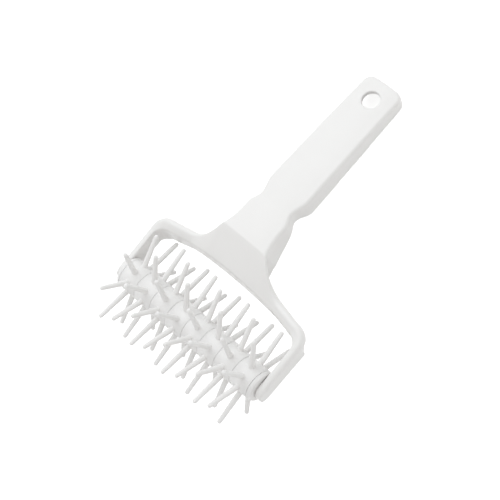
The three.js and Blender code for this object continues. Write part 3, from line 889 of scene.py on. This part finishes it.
def end_cap(name, side):
    """Cap with its plug, soft rim, boss and trunnion; the left one's skirt closes the seam."""
    skirt_face = CAP_INNER_FACE - (CAP_SKIRT if side < 0 else 0)
    skirt_radius = BARREL_RADIUS - SEAM_DEPTH + CAP_SKIRT_CHAMFER
    plug_radius = CORE_BORE_RADIUS - FIT_GAP
    trunnion_end = ARM_INNER_FACE + SOCKET_DEPTH - FIT_GAP
    boss_end = CAP_OUTER_FACE + RUNNING_GAP - FIT_GAP
    rim = BARREL_RADIUS - CAP_FALL
    profile = [
        (plug_radius - PLUG_TAPER, CAP_INNER_FACE - PLUG_LENGTH),
        (plug_radius, CAP_INNER_FACE - PLUG_LENGTH + PLUG_TAPER),
        (plug_radius, CAP_INNER_FACE),
        (skirt_radius - SKIRT_DRAFT, CAP_INNER_FACE),
        (skirt_radius, skirt_face),
        (BARREL_RADIUS - CAP_SKIRT_CHAMFER, skirt_face),
        (BARREL_RADIUS, skirt_face + CAP_SKIRT_CHAMFER),
        (BARREL_RADIUS, CAP_INNER_FACE + CAP_THICKNESS * CAP_FALL_START),
        (BARREL_RADIUS - CAP_FALL * CAP_FALL_SHARE, CAP_INNER_FACE + CAP_THICKNESS * CAP_FALL_AT),
    ]
    for turn in shares(CAP_EDGE_STEPS, 0, QUARTER):
        radius = rim - CAP_EDGE_RADIUS * (1 - math.cos(turn))
        profile.append((radius, CAP_OUTER_FACE - CAP_EDGE_RADIUS * (1 - math.sin(turn))))
    profile += [
        (CAP_BOSS_RADIUS, CAP_OUTER_FACE),
        (CAP_BOSS_RADIUS, boss_end - CAP_BOSS_CHAMFER),
        (CAP_BOSS_RADIUS - CAP_BOSS_CHAMFER, boss_end),
        (TRUNNION_RADIUS, boss_end),
        (TRUNNION_RADIUS, trunnion_end - TRUNNION_CHAMFER),
        (TRUNNION_RADIUS - TRUNNION_CHAMFER, trunnion_end),
    ]
    cap = turned(name, profile, BARREL_SIDES)
    bpy.ops.object.shade_smooth_by_angle(angle=SMOOTH_ANGLE)
    return placed(cap, location=AXIS, rotation=(0, 0, 0 if side > 0 else math.pi))


# Finishes


def group_socket(group, name, kind, direction, value=None):
    socket = group.interface.new_socket(name=name, in_out=direction, socket_type=kind)
    if value is not None:
        socket.default_value = value


def feed(tree, socket, entry):
    """Gives a socket a plain number or another node's output."""
    if isinstance(entry, (int, float)):
        socket.default_value = entry
    else:
        tree.links.new(entry, socket)


def noise(tree, coordinates, scale, detail):
    node = tree.nodes.new("ShaderNodeTexNoise")
    feed(tree, node.inputs["Scale"], scale)
    node.inputs["Detail"].default_value = detail
    tree.links.new(coordinates, node.inputs["Vector"])
    return node.outputs["Fac"]


def mapped(tree, value, low, high, to_low, to_high):
    """Value between low and high brought between two others, which may be numbers or sockets."""
    node = tree.nodes.new("ShaderNodeMapRange")
    tree.links.new(value, node.inputs["Value"])
    names = ("From Min", "From Max", "To Min", "To Max")
    for name, entry in zip(names, (low, high, to_low, to_high)):
        feed(tree, node.inputs[name], entry)
    return node.outputs["Result"]


def math_of(tree, operation, first, second):
    node = tree.nodes.new("ShaderNodeMath")
    node.operation = operation
    for socket, entry in zip(node.inputs, (first, second)):
        feed(tree, socket, entry)
    return node.outputs["Value"]


def moulded_grain():
    """Flow shade, gloss and height of moulded plastic, by its place on the piece."""
    group = bpy.data.node_groups.new("moulded_grain", "ShaderNodeTree")
    group_socket(group, "Flow Scale", "NodeSocketFloat", "INPUT", FLOW_SCALE)
    group_socket(group, "Peel Scale", "NodeSocketFloat", "INPUT", PEEL_SCALE)
    group_socket(group, "Shade", "NodeSocketFloat", "OUTPUT")
    group_socket(group, "Gloss", "NodeSocketFloat", "OUTPUT")
    group_socket(group, "Height", "NodeSocketFloat", "OUTPUT")
    entry = group.nodes.new("NodeGroupInput")
    result = group.nodes.new("NodeGroupOutput")
    place = group.nodes.new("ShaderNodeTexCoord").outputs["Object"]
    flow = noise(group, place, entry.outputs["Flow Scale"], 3)
    peel = noise(group, place, entry.outputs["Peel Scale"], 2)
    handling = noise(group, place, HANDLING_SCALE, 5)
    group.links.new(mapped(group, flow, 0.3, 0.7, 0, 1), result.inputs["Shade"])
    handled = math_of(group, "MULTIPLY", handling, HANDLING_SHARE)
    flowed = math_of(group, "MULTIPLY", flow, 1 - HANDLING_SHARE)
    gloss = math_of(group, "ADD", handled, flowed)
    group.links.new(mapped(group, gloss, 0.35, 0.65, 0, 1), result.inputs["Gloss"])
    group.links.new(peel, result.inputs["Height"])
    return group


def edge_rub():
    """Mask of the raised edges that hands and dough polish."""
    group = bpy.data.node_groups.new("edge_rub", "ShaderNodeTree")
    group_socket(group, "Start", "NodeSocketFloat", "INPUT", 0.52)
    group_socket(group, "Full", "NodeSocketFloat", "INPUT", 0.62)
    group_socket(group, "Mask", "NodeSocketFloat", "OUTPUT")
    entry = group.nodes.new("NodeGroupInput")
    result = group.nodes.new("NodeGroupOutput")
    raised = group.nodes.new("ShaderNodeNewGeometry").outputs["Pointiness"]
    place = group.nodes.new("ShaderNodeTexCoord").outputs["Object"]
    edge = mapped(group, raised, entry.outputs["Start"], entry.outputs["Full"], 0, 1)
    broken = mapped(group, noise(group, place, WEAR_BREAK_SCALE, 4), 0.35, 0.6, 0.35, 1)
    group.links.new(math_of(group, "MULTIPLY", edge, broken), result.inputs["Mask"])
    return group


GRAIN = moulded_grain()
RUB = edge_rub()


def white_plastic(name, light, deep, rubbed, roughness, peel):
    """White moulded plastic: two tones that drift together, rubbed edges and a faint peel."""
    material = bpy.data.materials.new(name)
    material.use_nodes = True
    tree = material.node_tree
    shader = tree.nodes["Principled BSDF"]
    shader.inputs["IOR"].default_value = PLASTIC_IOR
    shader.inputs["Subsurface Weight"].default_value = PLASTIC_GLOW
    shader.inputs["Subsurface Radius"].default_value = (1, 1, 1)
    shader.inputs["Subsurface Scale"].default_value = PLASTIC_GLOW_DEPTH * MM
    grain = tree.nodes.new("ShaderNodeGroup")
    grain.node_tree = GRAIN
    rub = tree.nodes.new("ShaderNodeGroup")
    rub.node_tree = RUB
    tone = tree.nodes.new("ShaderNodeMix")
    tone.data_type = "RGBA"
    tone.inputs["A"].default_value = (*deep, 1)
    tone.inputs["B"].default_value = (*light, 1)
    tree.links.new(grain.outputs["Shade"], tone.inputs["Factor"])
    edged = tree.nodes.new("ShaderNodeMix")
    edged.data_type = "RGBA"
    edged.inputs["B"].default_value = (*rubbed, 1)
    tree.links.new(tone.outputs["Result"], edged.inputs["A"])
    tree.links.new(rub.outputs["Mask"], edged.inputs["Factor"])
    tree.links.new(edged.outputs["Result"], shader.inputs["Base Color"])
    dull = mapped(tree, grain.outputs["Gloss"], 0, 1, roughness[0], roughness[1])
    polish = math_of(tree, "MULTIPLY", rub.outputs["Mask"], RUB_POLISH)
    tree.links.new(math_of(tree, "SUBTRACT", dull, polish), shader.inputs["Roughness"])
    bump = tree.nodes.new("ShaderNodeBump")
    bump.inputs["Strength"].default_value = peel
    bump.inputs["Distance"].default_value = PEEL_HEIGHT * MM
    tree.links.new(grain.outputs["Height"], bump.inputs["Height"])
    tree.links.new(bump.outputs["Normal"], shader.inputs["Normal"])
    return material


def coated(piece, material):
    piece.data.materials.clear()
    piece.data.materials.append(material)
    return piece


def belonging(piece, body, node, material):
    """Gives a piece its finish and its body, and lets it stand for its CAD node."""
    coated(piece, material)
    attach(piece, body)
    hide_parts(node)


# Room


def seen_at_once(tree):
    """One for a ray from the camera, a gloss or a clear piece, and nought for plain light."""
    rays = tree.nodes.new("ShaderNodeLightPath").outputs
    direct = math_of(tree, "MAXIMUM", rays["Is Camera Ray"], rays["Is Transmission Ray"])
    return math_of(tree, "MAXIMUM", direct, rays["Is Glossy Ray"])


def white_world(ambient):
    """World that is white to the camera and in reflections, and a soft even light otherwise."""
    world = bpy.data.worlds.new("white_room")
    bpy.context.scene.world = world
    world.use_nodes = True
    tree = world.node_tree
    soft = tree.nodes["Background"]
    soft.inputs["Color"].default_value = (1, 1, 1, 1)
    soft.inputs["Strength"].default_value = ambient
    seen = tree.nodes.new("ShaderNodeBackground")
    seen.inputs["Color"].default_value = (1, 1, 1, 1)
    mix = tree.nodes.new("ShaderNodeMixShader")
    tree.links.new(seen_at_once(tree), mix.inputs[0])
    tree.links.new(soft.outputs[0], mix.inputs[1])
    tree.links.new(seen.outputs[0], mix.inputs[2])
    tree.links.new(mix.outputs[0], tree.nodes["World Output"].inputs["Surface"])


def white_floor(glow):
    """Table of plain white card, lifted to white for the camera where no shadow lies."""
    bpy.ops.object.select_all(action="DESELECT")
    bpy.ops.mesh.primitive_plane_add(size=TABLE_SIZE, location=(0, 0, 0))
    floor = started("white_table")
    material = bpy.data.materials.new("white_card")
    material.use_nodes = True
    tree = material.node_tree
    card = tree.nodes["Principled BSDF"]
    card.inputs["Base Color"].default_value = CARD_WHITE
    card.inputs["Roughness"].default_value = CARD_ROUGHNESS
    card.inputs["Specular IOR Level"].default_value = 0
    lift = tree.nodes.new("ShaderNodeEmission")
    lift.inputs["Color"].default_value = (1, 1, 1, 1)
    level = math_of(tree, "MULTIPLY", seen_at_once(tree), glow)
    tree.links.new(level, lift.inputs["Strength"])
    both = tree.nodes.new("ShaderNodeAddShader")
    tree.links.new(card.outputs[0], both.inputs[0])
    tree.links.new(lift.outputs[0], both.inputs[1])
    tree.links.new(both.outputs[0], tree.nodes["Material Output"].inputs["Surface"])
    coated(floor, material)


def soft_lamp(name, direction, distance, size, energy, color):
    """Square soft box that looks at the tool from a direction."""
    towards = Vector(direction).normalized()
    bpy.ops.object.light_add(type="AREA", location=towards * distance)
    lamp = bpy.context.object
    lamp.name = name
    lamp.rotation_euler = towards.to_track_quat("Z", "Y").to_euler()
    lamp.data.size = size
    lamp.data.energy = energy
    lamp.data.color = color


def photo_camera():
    """Camera at the photograph's place, turn and lens."""
    azimuth, elevation = math.radians(CAMERA_AZIMUTH), math.radians(CAMERA_ELEVATION)
    back = Vector(
        (
            math.sin(azimuth) * math.cos(elevation),
            -math.cos(azimuth) * math.cos(elevation),
            math.sin(elevation),
        )
    )
    place = (Vector(CAMERA_AIM) + back * CAMERA_DISTANCE) * MM
    turn = (-back).to_track_quat("-Z", "Y") @ Quaternion((0, 0, 1), math.radians(CAMERA_ROLL))
    bpy.ops.object.camera_add(location=place, rotation=turn.to_euler())
    camera = bpy.context.object
    camera.data.lens = CAMERA_LENS
    camera.data.sensor_width = CAMERA_SENSOR
    camera.data.clip_start = CAMERA_CLIP
    bpy.context.scene.camera = camera


# The docker

handle_white = white_plastic(
    "handle_white",
    light=(0.885, 0.873, 0.858),
    deep=(0.867, 0.854, 0.839),
    rubbed=(0.893, 0.883, 0.873),
    roughness=(0.32, 0.44),
    peel=0.25,
)
ring_white = white_plastic(
    "ring_white",
    light=(0.885, 0.874, 0.861),
    deep=(0.866, 0.854, 0.841),
    rubbed=(0.9, 0.892, 0.883),
    roughness=(0.38, 0.5),
    peel=0.3,
)
core_white = white_plastic(
    "core_white",
    light=(0.75, 0.747, 0.738),
    deep=(0.72, 0.716, 0.707),
    rubbed=(0.77, 0.768, 0.762),
    roughness=(0.5, 0.62),
    peel=0.4,
)

belonging(moulded_handle(), "yoke", "yoke_handle", handle_white)
ring_models = [spiked_ring(STAGGER), spiked_ring(0)]
for number in range(1, RING_COUNT + 1):
    ring = rolled_ring(ring_models[(number - 1) % 2], number)
    belonging(ring, "roller", f"spike_ring_{number}", ring_white)
for model in ring_models:
    bpy.data.objects.remove(model)
for name, side in (("right", 1), ("left", -1)):
    cap = end_cap(f"cap_{name}", side)
    belonging(cap, "roller", f"end_cap_{name}", ring_white)
coated(frame["nodes"]["roller_core"], core_white)

white_world(ambient=0.71)
white_floor(glow=0.7)
soft_lamp("back_soft_box", BACK_LIGHT, distance=1.5, size=1.2, energy=7.6, color=(0.92, 0.97, 1))
photo_camera()
bpy.context.scene.view_settings.view_transform = "Standard"
